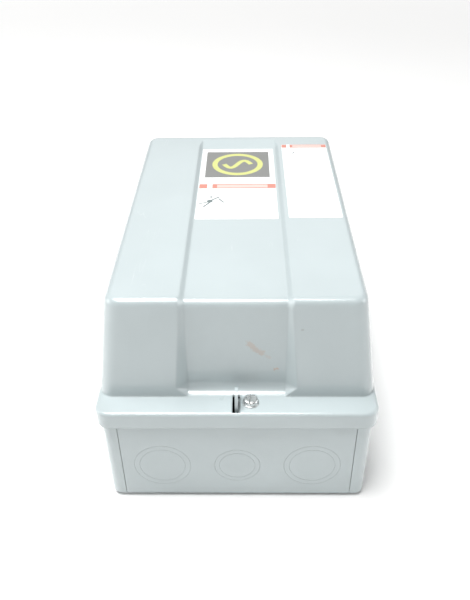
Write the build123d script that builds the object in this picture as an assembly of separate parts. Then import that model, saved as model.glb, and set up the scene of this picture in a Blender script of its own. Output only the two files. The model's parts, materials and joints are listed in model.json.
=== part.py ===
"""Magnetic motor starter in a sheet-steel wall box, lying on its back.

Frame, in millimetres: X is the width, +Y points to the top end of the box when it hangs on a wall, +Z
points out of the cover. The origin is the centre of the cover's outline, on the back face of the box.
"""
import os
from math import atan2, cos, radians, sin, tan

from build123d import *

# ---------------------------------------------------------------- box and cover
SHEET = 1.5
BASE_WIDTH = 160.0
BASE_LENGTH = 257.0
BASE_CORNER = 6.0
BASE_RIM = 68.0
SEAM_X = 70.9
SEAM_GAP = 0.3

SKIRT_OVERHANG = 2.5
SKIRT_BOTTOM = 62.0
LEDGE = 73.7
COVER_WIDTH = BASE_WIDTH + 2 * SKIRT_OVERHANG
COVER_LENGTH = BASE_LENGTH + 2 * SKIRT_OVERHANG
COVER_CORNER = 8.5
SKIRT_EDGE_RADIUS = 2.0

COVER_TOP = 137.5
DOME_FOOT_HALF = 81.5
DOME_TOP_HALF = 72.9
DOME_FRONT_FOOT = -116.2
DOME_FRONT_TOP = -107.9
DOME_FAR_FOOT = 130.0
DOME_FAR_TOP = 122.0
DOME_CORNER = 8.5
DOME_EDGE_RADIUS = 4.5

GROOVE_DEPTH = 2.0
GROOVE_HALF_FLAT = 28.8
GROOVE_SIDE_RUN = 7.4
GROOVE_SIDE_TAPER = 39.0
GROOVE_FAR_END = 103.0
GROOVE_RUN_OUT = 11.0
GROOVE_RUN_OUT_RADIUS = 30.0
POCKET_FOOT = -110.3
POCKET_TOP = -106.2
POCKET_FOOT_RADIUS = 6.5

FRONT = -BASE_LENGTH / 2
SLOT_X = (-2.4, 1.8)
SLOT_Y = (FRONT - 1.0, FRONT + 13.4)
EAR_Y = (FRONT + 1.0, FRONT + 12.0)
EAR_HALF_THICKNESS = 1.0
EAR_TOP = LEDGE + 11.0
BRACKET_TOP = 70.2
SCREW_X = 8.2
SCREW_Y = FRONT + 7.3
SCREW_HOLE_RADIUS = 2.7
WASHER_RADIUS = 4.8
WASHER_THICKNESS = 0.8
PADLOCK_HOLE_RADIUS = 2.9
PADLOCK_HOLE_Z = EAR_TOP - 4.6

PIVOT_Y = COVER_LENGTH / 2
PIVOT_Z = 60.0
HOOK_INNER_RADIUS = 9.5
HOOK_X = (-46.0, 46.0)
HOOK_WIDTH = 16.0
HOOK_ANGLES = (106.0, 200.0)
HOOK_RISE = 18.0

MOUNT_SPACING_X = 101.6
MOUNT_SPACING_Y = 215.9
MOUNT_HOLE_RADIUS = 3.5

KNOCKOUT_X = (-46.0, 0.0, 46.0)
KNOCKOUT_Z = 27.0
KNOCKOUT_OUTER = (17.45, 14.1, 17.45)
KNOCKOUT_INNER = (14.1, 11.1, 14.1)
KNOCKOUT_GAP = 0.3
KNOCKOUT_TIE = 2.4

LABEL_THICKNESS = 0.15
RATING_LABEL_X = (-28.3, 27.2)
RATING_LABEL_Y = (-14.2, 99.6)
SIDE_LABEL_X = (33.9, 69.1)
SIDE_LABEL_Y = (-16.3, 103.0)

# ---------------------------------------------------------------- mounting plate
PAD_HEIGHT = 4.0
PLATE_BOTTOM = SHEET + PAD_HEIGHT
PLATE_TOP = PLATE_BOTTOM + 2.0
PLATE_HALF_X = 56.0
PLATE_Y = (-88.0, 100.0)
PLATE_SCREWS = ((-50.5, -81.5), (50.5, -81.5), (-50.5, 92.5), (50.5, 92.5))

GROUND_X = 20.0
GROUND_Y = -104.0
GROUND_SHELF = 12.0
LUG_THICKNESS = 1.6

# ---------------------------------------------------------------- contactor
POLE_X = (-31.5, -10.5, 10.5, 31.5)
POWER_X = POLE_X[1:]
AUX_X = POLE_X[0]
BARRIER_X = (-42.8, -21.0, 0.0, 21.0, 42.8)
BARRIER_HALF = (1.2, 1.5, 1.5, 1.5, 1.2)
BLOCK_HALF_X = 44.0
BLOCK_Y = (2.0, 100.0)
LOWER_HALF_X = 36.0
LOWER_Y = (6.0, 96.0)
LOWER_TOP = 56.0
CAVITY_HALF_X = 31.0
CAVITY_Y = (26.0, 76.0)
CAVITY_FLOOR = 11.0
CENTRE_Y = 51.0
FOOT_SCREWS = ((-40.3, 16.0), (40.3, 16.0), (-40.3, 86.0), (40.3, 86.0))

BLOCK_TOP = 88.0
SLAB_TOP = 64.0
LAND_TOP = 72.0
STRIP_TOP = 74.0
STRIP_HALF = 5.5
TIP_RADIUS = 3.4
TIP_HEIGHT = 1.5
TIP_OFFSET = 11.0
PULL_IN = 5.0
CONTACT_GAP = 3.5
TOUCH_GAP = 0.05
OVERTRAVEL = PULL_IN - CONTACT_GAP
BRIDGE_BOTTOM = STRIP_TOP + TIP_HEIGHT + CONTACT_GAP + TOUCH_GAP + TIP_HEIGHT
BRIDGE_THICKNESS = 2.0
BRIDGE_HALF_X = 4.6
BRIDGE_HALF_Y = 16.0

CARRIER_HALF_Y = 5.0
CARRIER_BOTTOM = 70.0
CARRIER_TOP = 98.0
WINDOW_HALF = 6.3
WINDOW_TOP = 94.0
STEM_HALF_X = 13.0
YOKE_BOTTOM = 53.1
YOKE_TOP = 55.8
YOKE_HALF_Y = 19.5
TONGUE_TOP = 104.5
ARC_COVER_TOP = 103.0
ARC_COVER_Y = (28.0, 74.0)
ARC_SCREWS = ((0.0, 33.0), (0.0, 69.0))
ARC_SCREW_SINK = 1.2
HOUSING_SCREWS = ((-21.0, 20.5), (21.0, 20.5), (-21.0, 81.5), (21.0, 81.5))
HOUSING_SCREW_SEAT = BLOCK_TOP - 2.0
TERMINAL_Y = (11.0, 91.0)
CLAMP_THICKNESS = 1.4

CORE_HALF_X = 27.0
CORE_HALF_Y = 11.0
CORE_BOTTOM = 12.0
CORE_BACK_TOP = 22.0
CORE_LEG_TOP = 40.0
CORE_LEG_INNER = 19.0
CORE_CENTRE_HALF = 8.0
BOBBIN_TOP = 38.5
COIL_TERMINAL_Y = (35.5, 66.5)
COIL_TERMINAL_X = -49.5
COIL_TAB = 1.5
BOBBIN_BOTTOM = CORE_BACK_TOP + 0.3
BOBBIN_FLANGE = 1.5
BOBBIN_WALL = 1.6
ARMATURE_BOTTOM = CORE_LEG_TOP + PULL_IN + TOUCH_GAP
PIN_Z = 49.4
PIN_RADIUS = 2.0
CHEEK_INNER = CORE_HALF_Y + 0.2
CHEEK_OUTER = CORE_HALF_Y + 2.6

# ---------------------------------------------------------------- overload relay
RELAY_Y = (-84.0, -3.0)
RELAY_LAND = 42.5
RELAY_FLOOR = 28.0
RELAY_BARRIER_TOP = 52.0
RECESS_Y = (-54.0, -31.0)
UNIT_Y = (-61.0, -24.0)
UNIT_SCREW_Y = (-58.0, -27.0)
UNIT_CENTRE_Y = -42.5
RELAY_STRIP_THICKNESS = 1.5
UNIT_BOTTOM = RELAY_LAND + RELAY_STRIP_THICKNESS
TRIP_TRAVEL = 2.5
RESET_TRAVEL = 4.0
RESET_X = (-37.0, -26.0)
RESET_Y = (-50.0, -38.0)
RESET_TOP = 66.0
LOAD_TERMINAL_Y = -76.0
STRAP = 1.5
STRAP_SCREW_Y = -12.0
RELAY_SINK_SCREW = (-32.0, -10.0)
RELAY_SINK_SEAT = 24.0
RELAY_FOOT_SCREWS = ((49.0, -30.0), (49.0, -70.0))
FOOT_THICKNESS = 5.0
LEFT_COLUMN = (-43.2, -22.5)
TRIP_Y = (-52.5, -48.0)
FLAG_X = (-41.8, -40.2)
CONTROL_SCREWS = ((-38.2, -76.0), (-27.5, -76.0))
CONTROL_TOP = 48.0
CONTROL_SEAT = 44.0
POT_RADIUS = 4.2
POT_BOTTOM = 32.5
WHEEL_Z = (RELAY_FLOOR - 2.4, RELAY_FLOOR + 2.0)
WHEEL_RADIUS = 4.4
WHEEL_TEETH = 12

WIRE_RADIUS = 1.5
WIRE_LIFT = WIRE_RADIUS + 0.1
CONTROL_WIRE_Z = CONTROL_SEAT + WIRE_LIFT
COIL_WIRE_Z = BOBBIN_TOP + COIL_TAB + WIRE_LIFT
BLOCK_WIRE_Z = STRIP_TOP + WIRE_LIFT

TINY = 0.02


# ---------------------------------------------------------------- helpers
def block(x, y, z):
    """Box between the (low, high) pairs along X, Y and Z."""
    spans = (x, y, z)
    centre = [(low + high) / 2 for low, high in spans]
    size = [high - low for low, high in spans]
    return Pos(*centre) * Box(*size)


def around(centre, half):
    """(low, high) pair of the given half width about a centre."""
    return (centre - half, centre + half)


def rod(x, y, z, radius):
    """Upright cylinder between the (low, high) pair z."""
    low, high = z
    return Pos(x, y, (low + high) / 2) * Cylinder(radius, high - low)


def lying_rod(x, y, z, radius, along):
    """Cylinder whose axis lies along X or Y, between the (low, high) pair given for that axis."""
    span = x if along == "X" else y
    middle = (span[0] + span[1]) / 2
    length = span[1] - span[0]
    if along == "X":
        return Pos(middle, y, z) * Rot(0, 90, 0) * Cylinder(radius, length)
    return Pos(x, middle, z) * Rot(90, 0, 0) * Cylinder(radius, length)


def rounded_prism(x, y, z, radius):
    """Upright prism with rounded vertical edges between (low, high) pairs."""
    outline = RectangleRounded(x[1] - x[0], y[1] - y[0], radius)
    place = Pos((x[0] + x[1]) / 2, (y[0] + y[1]) / 2, z[0])
    return place * extrude(outline, z[1] - z[0])


def side_profile(points, x):
    """Prism of an outline given as (y, z) points, between the (low, high) pair x."""
    outline = make_face(Polyline(*[(0, y, z) for y, z in points], close=True))
    return Pos(x[0], 0, 0) * extrude(outline, x[1] - x[0], dir=(1, 0, 0))


def pan_screw(x, y, seat, length, shank=2.0, head=3.8, height=2.4, turn=0.0):
    """Slotted pan-head screw whose head stands on the height called seat."""
    crown = fillet(rod(0, 0, (0, height), head).edges().group_by(Axis.Z)[-1], height * 0.45)
    slot = Rot(0, 0, turn) * block(around(0, 0.5), around(0, head + 1), (height * 0.5, height + 1))
    body = (crown - slot) + rod(0, 0, (-length, TINY), shank)
    return Pos(x, y, seat) * body


def top_edge_fillet(solid, radius):
    """Round the edges of a solid's highest face."""
    return fillet(solid.faces().sort_by(Axis.Z)[-1].edges(), radius)


def group(solids):
    """Several separate solids in one sub-part."""
    return Compound(children=[solid for item in solids for solid in item.solids()])


# ---------------------------------------------------------------- box
def box_shell():
    """Back and four walls of the box as one skin."""
    outer = rounded_prism(around(0, BASE_WIDTH / 2), around(0, BASE_LENGTH / 2), (0, BASE_RIM), BASE_CORNER)
    outer = fillet(outer.faces().sort_by(Axis.Z)[0].edges(), SHEET)
    inner = rounded_prism(
        around(0, BASE_WIDTH / 2 - SHEET),
        around(0, BASE_LENGTH / 2 - SHEET),
        (SHEET, BASE_RIM + 1),
        BASE_CORNER - SHEET,
    )
    return outer - inner


def end_window(side, half):
    """Space of an end wall's face, on the -Y (side -1) or +Y (side 1) end."""
    faces = sorted((side * BASE_LENGTH / 2, side * (BASE_LENGTH / 2 - SHEET)))
    return block(around(0, half), faces, (0, BASE_RIM))


def mount_points():
    """Centres of the four wall-mounting holes."""
    half_x = MOUNT_SPACING_X / 2
    half_y = MOUNT_SPACING_Y / 2
    return [(sx * half_x, sy * half_y) for sx in (-1, 1) for sy in (-1, 1)]


def enclosure_base():
    shell = box_shell()
    for side in (-1, 1):
        shell -= end_window(side, SEAM_X)
    for x, y in mount_points():
        shell -= rod(x, y, (-1, SHEET + 1), MOUNT_HOLE_RADIUS)
    for x, y in PLATE_SCREWS:
        pad = top_edge_fillet(rod(x, y, (SHEET / 2, PLATE_BOTTOM), 7.5), 1.0)
        shell += pad
        shell -= rod(x, y, (-1, PLATE_BOTTOM - SHEET), 5.5)
        shell -= rod(x, y, (0, PLATE_BOTTOM + 1), 2.1)
    return shell


def end_wall(side):
    """Welded end wall: face between the wrapped corners, laps behind them and a foot on the back."""
    face = box_shell() & end_window(side, SEAM_X - SEAM_GAP)
    inner = side * (BASE_LENGTH / 2 - SHEET)
    lap_y = sorted((inner, inner - side * SHEET))
    foot_y = sorted((inner, inner - side * 8.0))
    lap = block(around(0, 73.0), lap_y, (SHEET, BASE_RIM - 1))
    lap -= block(around(0, 66.0), lap_y, (2 * SHEET, BASE_RIM))
    foot = block(around(0, 60.0), foot_y, (SHEET, 2 * SHEET))
    return face + lap + foot


def knockout_hole(index):
    """Through hole of one knockout in the bottom end wall."""
    span = (FRONT - 1, FRONT + SHEET + 1)
    return lying_rod(KNOCKOUT_X[index], span, KNOCKOUT_Z, KNOCKOUT_OUTER[index], "Y")


def knockout_disc(index, radius):
    span = (FRONT, FRONT + SHEET)
    return lying_rod(KNOCKOUT_X[index], span, KNOCKOUT_Z, radius, "Y")


def knockout_ties(index, radius, turn):
    """Two small bridges that hold a slug in the hole of the given radius."""
    bar = block(around(0, radius), (FRONT, FRONT + SHEET), around(0, KNOCKOUT_TIE / 2))
    bar = Rot(0, turn, 0) * bar
    bar = Pos(KNOCKOUT_X[index], 0, KNOCKOUT_Z) * bar
    return (bar & knockout_disc(index, radius)) - knockout_disc(index, radius - 2 * KNOCKOUT_GAP)


def bottom_end_wall():
    wall = end_wall(-1)
    for index in range(len(KNOCKOUT_X)):
        wall -= knockout_hole(index)
    return wall


def knockout_rings():
    rings = []
    for index, outer in enumerate(KNOCKOUT_OUTER):
        ring = knockout_disc(index, outer - KNOCKOUT_GAP) + knockout_ties(index, outer, 90)
        rings.append(ring - knockout_disc(index, KNOCKOUT_INNER[index]))
    return group(rings)


def knockout_centres():
    discs = []
    for index, inner in enumerate(KNOCKOUT_INNER):
        discs.append(knockout_disc(index, inner - KNOCKOUT_GAP) + knockout_ties(index, inner, 0))
    return group(discs)


def latch_bracket():
    """Welded bracket: leg on the end wall, tapped flange under the ledge and the padlock ear."""
    wall_face = FRONT + SHEET
    left = -EAR_HALF_THICKNESS
    right = SCREW_X + 8.8
    leg = block((left, right), (wall_face, wall_face + SHEET), (48.0, BRACKET_TOP))
    flange = block((left, right), (wall_face, FRONT + 14.5), (BRACKET_TOP - SHEET, BRACKET_TOP))
    flange -= rod(SCREW_X, SCREW_Y, (BRACKET_TOP - 3, BRACKET_TOP + 1), SCREW_HOLE_RADIUS)
    half_width = (EAR_Y[1] - EAR_Y[0]) / 2
    middle = sum(EAR_Y) / 2
    span = around(0, EAR_HALF_THICKNESS)
    ear = block(span, EAR_Y, (BRACKET_TOP - SHEET, EAR_TOP - half_width))
    ear += lying_rod(span, middle, EAR_TOP - half_width, half_width, "X")
    ear -= lying_rod(around(0, 2.0), middle, PADLOCK_HOLE_Z, PADLOCK_HOLE_RADIUS, "X")
    return leg + flange + ear


def ground_lug():
    """Bent terminal strap welded to the back, with a tapped shelf."""
    width = around(GROUND_X, 5.0)
    bend = GROUND_Y - 5.0
    strap = block(width, (bend - 7.0, bend), (SHEET, SHEET + LUG_THICKNESS))
    riser = block(width, (bend - LUG_THICKNESS, bend), (SHEET, GROUND_SHELF))
    shelf = block(width, (bend - LUG_THICKNESS, GROUND_Y + 6.0), (GROUND_SHELF - LUG_THICKNESS, GROUND_SHELF))
    return strap + riser + shelf - rod(GROUND_X, GROUND_Y, (GROUND_SHELF - 3, GROUND_SHELF + 1), 2.1)


def ground_screw():
    return pan_screw(GROUND_X, GROUND_Y, GROUND_SHELF, 7.0, head=4.6, height=3.0, turn=35)


# ---------------------------------------------------------------- cover
def dome(inset):
    """Tapered body of the cover, moved in by inset."""
    slope = atan2(DOME_FOOT_HALF - DOME_TOP_HALF, COVER_TOP - LEDGE)
    side = inset / cos(slope)
    lift = tan(slope) * inset

    def outline(half, front, far, radius, z):
        shape = RectangleRounded(2 * (half - side), far - front - 2 * side, radius - inset / 2)
        return Pos(0, (front + far) / 2, z) * shape

    foot = outline(DOME_FOOT_HALF, DOME_FRONT_FOOT, DOME_FAR_FOOT, DOME_CORNER, LEDGE)
    shoulder = (COVER_TOP - LEDGE - inset) / (COVER_TOP - LEDGE)
    half = DOME_FOOT_HALF + (DOME_TOP_HALF - DOME_FOOT_HALF) * shoulder
    front = DOME_FRONT_FOOT + (DOME_FRONT_TOP - DOME_FRONT_FOOT) * shoulder
    far = DOME_FAR_FOOT + (DOME_FAR_TOP - DOME_FAR_FOOT) * shoulder
    top = outline(half, front, far, DOME_CORNER, COVER_TOP - inset)
    body = loft([foot, top], ruled=True)
    body = top_edge_fillet(body, DOME_EDGE_RADIUS - inset)
    root = Pos(0, 0, -inset - lift - 3.0) * extrude(foot, inset + lift + 3.0)
    return body + root


def groove_outline(inset):
    """Side view of the space outside the channel, which runs out into the flat top at its far end."""
    roof = COVER_TOP - GROOVE_DEPTH - inset
    floor = LEDGE - inset
    lean = (POCKET_TOP - POCKET_FOOT) / (COVER_TOP - GROOVE_DEPTH - LEDGE)
    near_foot = POCKET_FOOT + inset
    far_end = GROOVE_FAR_END + 2 * GROOVE_RUN_OUT
    outline = FilletPolyline(
        (0, FRONT - 30, floor),
        (0, near_foot, floor),
        (0, near_foot + lean * (roof - floor), roof),
        (0, GROOVE_FAR_END, roof),
        (0, far_end, roof + 2 * GROOVE_DEPTH),
        radius=[POCKET_FOOT_RADIUS + inset, DOME_EDGE_RADIUS - inset, GROOVE_RUN_OUT_RADIUS],
    )
    lid = Polyline(
        outline @ 1,
        (0, far_end, COVER_TOP + 30),
        (0, FRONT - 30, COVER_TOP + 30),
        outline @ 0,
    )
    return make_face(outline + lid)


def groove_space(inset):
    """Everything outside the channel: a flat middle and two flanks that slope out to the cover's faces."""
    face = groove_outline(inset)
    flat = GROOVE_HALF_FLAT + inset * tan(radians(GROOVE_SIDE_TAPER / 2))
    space = Pos(-flat, 0, 0) * extrude(face, 2 * flat, dir=(1, 0, 0))
    for side in (-1, 1):
        start = Pos(side * flat, 0, 0) * face
        space += extrude(start, GROOVE_SIDE_RUN, dir=(side, 0, 0), taper=GROOVE_SIDE_TAPER)
    return space


def cover_form(inset):
    """Solid inside the cover's outer skin, moved in by inset."""
    skirt = rounded_prism(
        around(0, COVER_WIDTH / 2 - inset),
        around(0, COVER_LENGTH / 2 - inset),
        (SKIRT_BOTTOM - (1 if inset else 0), LEDGE - inset),
        COVER_CORNER - inset,
    )
    skirt = top_edge_fillet(skirt, SKIRT_EDGE_RADIUS - inset)
    return skirt + (dome(inset) - groove_space(inset))


def cover():
    shell = cover_form(0.0) - cover_form(SHEET)
    shell -= block(SLOT_X, SLOT_Y, (LEDGE - 4, LEDGE + 6))
    shell -= rod(SCREW_X, SCREW_Y, (LEDGE - 4, LEDGE + 4), SCREW_HOLE_RADIUS)
    return shell


def hook_leg():
    """Side view of a hook's leg, against the inside of the far wall, measured from the swing axis."""
    lean = (DOME_FAR_FOOT - DOME_FAR_TOP) / (COVER_TOP - LEDGE)
    face = DOME_FAR_FOOT - PIVOT_Y - SHEET / cos(atan2(lean, 1)) - 0.1
    foot = LEDGE - PIVOT_Z
    return [
        (face, HOOK_INNER_RADIUS - 0.5),
        (face, foot),
        (face - lean * HOOK_RISE, foot + HOOK_RISE),
        (face - lean * HOOK_RISE - SHEET, foot + HOOK_RISE),
        (face - SHEET, foot),
        (face - SHEET, HOOK_INNER_RADIUS - 0.5),
    ]


def hook_curl():
    """Side view of a hook's curled end: a band about the swing axis."""
    start, end = HOOK_ANGLES
    middle = (start + end) / 2

    def at(radius, angle):
        return (0, radius * cos(radians(angle)), radius * sin(radians(angle)))

    outer = HOOK_INNER_RADIUS + SHEET
    back = ThreePointArc(at(outer, start), at(outer, middle), at(outer, end))
    front = ThreePointArc(*(at(HOOK_INNER_RADIUS, angle) for angle in (end, middle, start)))
    return make_face(back + Line(back @ 1, front @ 0) + front + Line(front @ 1, back @ 0))


def cover_hooks():
    """Two goosenecks welded inside the cover's far wall, curled over the box's rim."""
    hooks = []
    for x in HOOK_X:
        arm = side_profile(hook_leg(), around(x, HOOK_WIDTH / 2))
        arm += Pos(x - HOOK_WIDTH / 2, 0, 0) * extrude(hook_curl(), HOOK_WIDTH, dir=(1, 0, 0))
        hooks.append(Pos(0, PIVOT_Y, PIVOT_Z) * arm)
    return group(hooks)


def label(x, y, z):
    return rounded_prism(x, y, (z, z + LABEL_THICKNESS), 1.0)


def rating_label():
    return label(RATING_LABEL_X, RATING_LABEL_Y, COVER_TOP - GROOVE_DEPTH)


def side_label():
    return label(SIDE_LABEL_X, SIDE_LABEL_Y, COVER_TOP)


def wiring_diagram():
    """Paper sheet glued inside the cover."""
    return label(around(0, 26.0), (-70.0, 90.0), COVER_TOP - GROOVE_DEPTH - SHEET - LABEL_THICKNESS)


def screw_washer():
    ring = rod(SCREW_X, SCREW_Y, (LEDGE, LEDGE + WASHER_THICKNESS), WASHER_RADIUS)
    ring = top_edge_fillet(ring, 0.3)
    return ring - rod(SCREW_X, SCREW_Y, (LEDGE - 1, LEDGE + 2), 2.2)


def cover_screw():
    seat = LEDGE + WASHER_THICKNESS
    return pan_screw(SCREW_X, SCREW_Y, seat, 13.5, head=4.3, height=2.6, turn=-12)


# ---------------------------------------------------------------- mounting plate
def mounting_plate():
    plate = rounded_prism(around(0, PLATE_HALF_X), PLATE_Y, (PLATE_BOTTOM, PLATE_TOP), 4.0)
    for x, y in PLATE_SCREWS:
        plate -= rod(x, y, (PLATE_BOTTOM - 1, PLATE_TOP + 1), 2.4)
    for x, y in (*FOOT_SCREWS, *RELAY_FOOT_SCREWS, RELAY_SINK_SCREW):
        plate -= rod(x, y, (PLATE_BOTTOM - 1, PLATE_TOP + 1), 2.05)
    return plate


def plate_screws():
    return group([pan_screw(x, y, PLATE_TOP, 5.5, turn=x + y) for x, y in PLATE_SCREWS])


# ---------------------------------------------------------------- contactor housing
def contactor_base():
    body = rounded_prism(around(0, LOWER_HALF_X), LOWER_Y, (PLATE_TOP, LOWER_TOP), 2.0)
    foot = rounded_prism(around(0, 45.0), (9.0, 93.0), (PLATE_TOP, PLATE_TOP + FOOT_THICKNESS), 4.0)
    body += foot
    body -= block(around(0, CAVITY_HALF_X), CAVITY_Y, (CAVITY_FLOOR, LOWER_TOP + 1))
    for y in COIL_TERMINAL_Y:
        body += block((-57.0, -LOWER_HALF_X), around(y, 7), (28.0, BOBBIN_TOP))
        notch = (-LOWER_HALF_X - 1, -CAVITY_HALF_X + 1)
        body -= block(notch, around(y, 2.7), (BOBBIN_TOP - 0.1, BOBBIN_TOP + COIL_TAB + 0.4))
        body -= rod(COIL_TERMINAL_X, y, (30.0, BOBBIN_TOP + 1), 2.1)
    for x, y in FOOT_SCREWS:
        body -= rod(x, y, (PLATE_TOP - 1, PLATE_TOP + FOOT_THICKNESS + 1), 2.4)
    for x, y in HOUSING_SCREWS:
        body -= rod(x, y, (42.0, LOWER_TOP + 1), 2.1)
    return body


def foot_screws():
    return group([pan_screw(x, y, PLATE_TOP + FOOT_THICKNESS, 6.8, turn=x + 2 * y) for x, y in FOOT_SCREWS])


def contact_block():
    body = rounded_prism(around(0, BLOCK_HALF_X), BLOCK_Y, (LOWER_TOP, SLAB_TOP), 1.5)
    for y in ((BLOCK_Y[0], 44.5), (57.5, BLOCK_Y[1])):
        body += block(around(0, BLOCK_HALF_X), y, (SLAB_TOP - 1, LAND_TOP))
    for x, half in zip(BARRIER_X, BARRIER_HALF):
        body += block(around(x, half), BLOCK_Y, (SLAB_TOP - 1, BLOCK_TOP))
    for x, y in HOUSING_SCREWS:
        body += rod(x, y, (SLAB_TOP, HOUSING_SCREW_SEAT), 3.9)
    for x, y in ARC_SCREWS:
        body += rod(x, y, (SLAB_TOP, BLOCK_TOP), 4.2)
    channel = around(CENTRE_Y, CARRIER_HALF_Y + 0.7)
    body -= block(around(0, BLOCK_HALF_X - 2.6), channel, (SLAB_TOP, BLOCK_TOP + 1))
    body -= block(around(0, STEM_HALF_X + 0.7), channel, (LOWER_TOP - 1, SLAB_TOP + 1))
    for x, y in HOUSING_SCREWS:
        body -= rod(x, y, (LOWER_TOP - 1, BLOCK_TOP), 2.1)
        body -= rod(x, y, (HOUSING_SCREW_SEAT, BLOCK_TOP + 1), 3.9)
    for x, y in ARC_SCREWS:
        body -= rod(x, y, (BLOCK_TOP - 14, BLOCK_TOP + 1), 1.9)
    for x in POLE_X:
        for y in TERMINAL_Y:
            body -= rod(x, y, (LAND_TOP - 7, LAND_TOP + 1), 2.3)
    return body


def housing_screws():
    screws = [pan_screw(x, y, HOUSING_SCREW_SEAT, 40.0, head=3.5, turn=3 * x + y) for x, y in HOUSING_SCREWS]
    return group(screws)


def contact_strip(x, y):
    """Copper strip on the land of one pole, with a clearance hole for its terminal screw."""
    strip = block(around(x, STRIP_HALF), y, (LAND_TOP, STRIP_TOP))
    for place in TERMINAL_Y:
        strip -= rod(x, place, (LAND_TOP - 1, STRIP_TOP + 1), 2.3)
    return strip


def line_contacts():
    return group([contact_strip(x, (CENTRE_Y + 7.0, 98.0)) for x in POLE_X])


def load_contacts():
    return group([contact_strip(x, (4.0, CENTRE_Y - 7.0)) for x in POLE_X])


def contact_tips(bottom):
    tips = []
    for x in POLE_X:
        for side in (-1, 1):
            tips.append(rod(x, CENTRE_Y + side * TIP_OFFSET, (bottom, bottom + TIP_HEIGHT), TIP_RADIUS))
    return tips


def fixed_contact_tips():
    return group([top_edge_fillet(tip, 0.4) for tip in contact_tips(STRIP_TOP)])


def clamp(x, y, seat, half=4.9):
    """Square wire clamp with turned-down edges, under a terminal screw."""
    plate = rounded_prism(around(x, half), around(y, half), (seat, seat + CLAMP_THICKNESS), 0.8)
    return plate - rod(x, y, (seat - 1, seat + 3), 2.3)


def wire_clamps():
    pads = [clamp(x, TERMINAL_Y[1], STRIP_TOP) for x in POLE_X]
    pads.append(clamp(AUX_X, TERMINAL_Y[0], STRIP_TOP))
    pads += [clamp(x, LOAD_TERMINAL_Y, UNIT_BOTTOM) for x in POWER_X]
    return group(pads)


def terminal_screws():
    seat = STRIP_TOP + CLAMP_THICKNESS
    load_y, line_y = TERMINAL_Y
    places = [(x, line_y, seat) for x in POLE_X]
    places.append((AUX_X, load_y, seat))
    places += [(x, load_y, STRIP_TOP + STRAP) for x in POWER_X]
    places += [(x, LOAD_TERMINAL_Y, UNIT_BOTTOM + CLAMP_THICKNESS) for x in POWER_X]
    places += [(x, STRAP_SCREW_Y, UNIT_BOTTOM + STRAP) for x in POWER_X]
    return group([pan_screw(x, y, z, 7.5, head=4.1, turn=7 * x + 3 * y) for x, y, z in places])


def arc_cover():
    """Moulded cap over the arc chambers, with a window for the carrier's tongue."""
    x = around(0, BLOCK_HALF_X)
    cap = rounded_prism(x, ARC_COVER_Y, (BLOCK_TOP, ARC_COVER_TOP), 3.0)
    cap = top_edge_fillet(cap, 1.5)
    room = block(around(0, BLOCK_HALF_X - 2.2), around(CENTRE_Y, 20.5), (BLOCK_TOP - 1, ARC_COVER_TOP - 2.5))
    cap -= room
    for x, y in ARC_SCREWS:
        cap += rod(x, y, (BLOCK_TOP, ARC_COVER_TOP - ARC_SCREW_SINK), 4.2)
        cap -= rod(x, y, (BLOCK_TOP - 1, ARC_COVER_TOP + 1), 2.0)
        cap -= rod(x, y, (ARC_COVER_TOP - ARC_SCREW_SINK, ARC_COVER_TOP + 1), 4.6)
    cap -= block(around(0, 6.0), around(CENTRE_Y, 4.0), (ARC_COVER_TOP - 4, ARC_COVER_TOP + 1))
    for x in POLE_X:
        for side in (-1, 1):
            for step in range(3):
                place = CENTRE_Y + side * (9.0 + 3.4 * step)
                cap -= block(around(x, 5.0), around(place, 0.7), (ARC_COVER_TOP - 4, ARC_COVER_TOP + 1))
    return cap


def arc_cover_screws():
    seat = ARC_COVER_TOP - ARC_SCREW_SINK
    return group([pan_screw(x, y, seat, 24.0, shank=1.8, head=3.6, turn=15 + y) for x, y in ARC_SCREWS])


# ---------------------------------------------------------------- magnet and coil
def stationary_core():
    """Laminated E core, legs towards the armature."""
    x = around(0, CORE_HALF_X)
    y = around(CENTRE_Y, CORE_HALF_Y)
    core = block(x, y, (CORE_BOTTOM, CORE_LEG_TOP))
    for side in (-1, 1):
        gap = sorted((side * CORE_CENTRE_HALF, side * CORE_LEG_INNER))
        core -= block(gap, (CENTRE_Y - 20, CENTRE_Y + 20), (CORE_BACK_TOP, CORE_LEG_TOP + 1))
    for side in (-1, 1):
        ring_x = side * (CORE_HALF_X + CORE_LEG_INNER) / 2
        core -= shading_ring(ring_x, 0.1)
    return core


def shading_ring(x, gap=0.0):
    """Rectangular copper loop let into the face of an outer leg."""
    half_x = (CORE_HALF_X - CORE_LEG_INNER) / 2 - 1.0 + gap
    top = CORE_LEG_TOP - 0.3
    outer = block(around(x, half_x), around(CENTRE_Y, 8.0 + gap), (top - 2.2 - gap, top + 1 if gap else top))
    inner = block(around(x, half_x - 1.6 - 2 * gap), around(CENTRE_Y, 6.4 - gap), (top - 4, top + 2))
    return outer - inner


def shading_rings():
    ring_x = (CORE_HALF_X + CORE_LEG_INNER) / 2
    return group([shading_ring(-ring_x), shading_ring(ring_x)])


def magnet_cushion():
    return block(around(0, CORE_HALF_X), around(CENTRE_Y, CORE_HALF_Y), (CAVITY_FLOOR, CORE_BOTTOM))


def coil_tube(margin, z):
    """Block about the core's centre leg, wider than the leg by a margin all round."""
    return block(around(0, CORE_CENTRE_HALF + margin), around(CENTRE_Y, CORE_HALF_Y + margin), z)


def coil_bobbin():
    body = coil_tube(BOBBIN_WALL, (BOBBIN_BOTTOM, BOBBIN_TOP))
    for bottom in (BOBBIN_BOTTOM, BOBBIN_TOP - BOBBIN_FLANGE):
        body += rounded_prism(around(0, 18.5), around(CENTRE_Y, 20.0), (bottom, bottom + BOBBIN_FLANGE), 3.0)
    return body - coil_tube(0.3, (BOBBIN_BOTTOM - 1, BOBBIN_TOP + 1))


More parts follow.
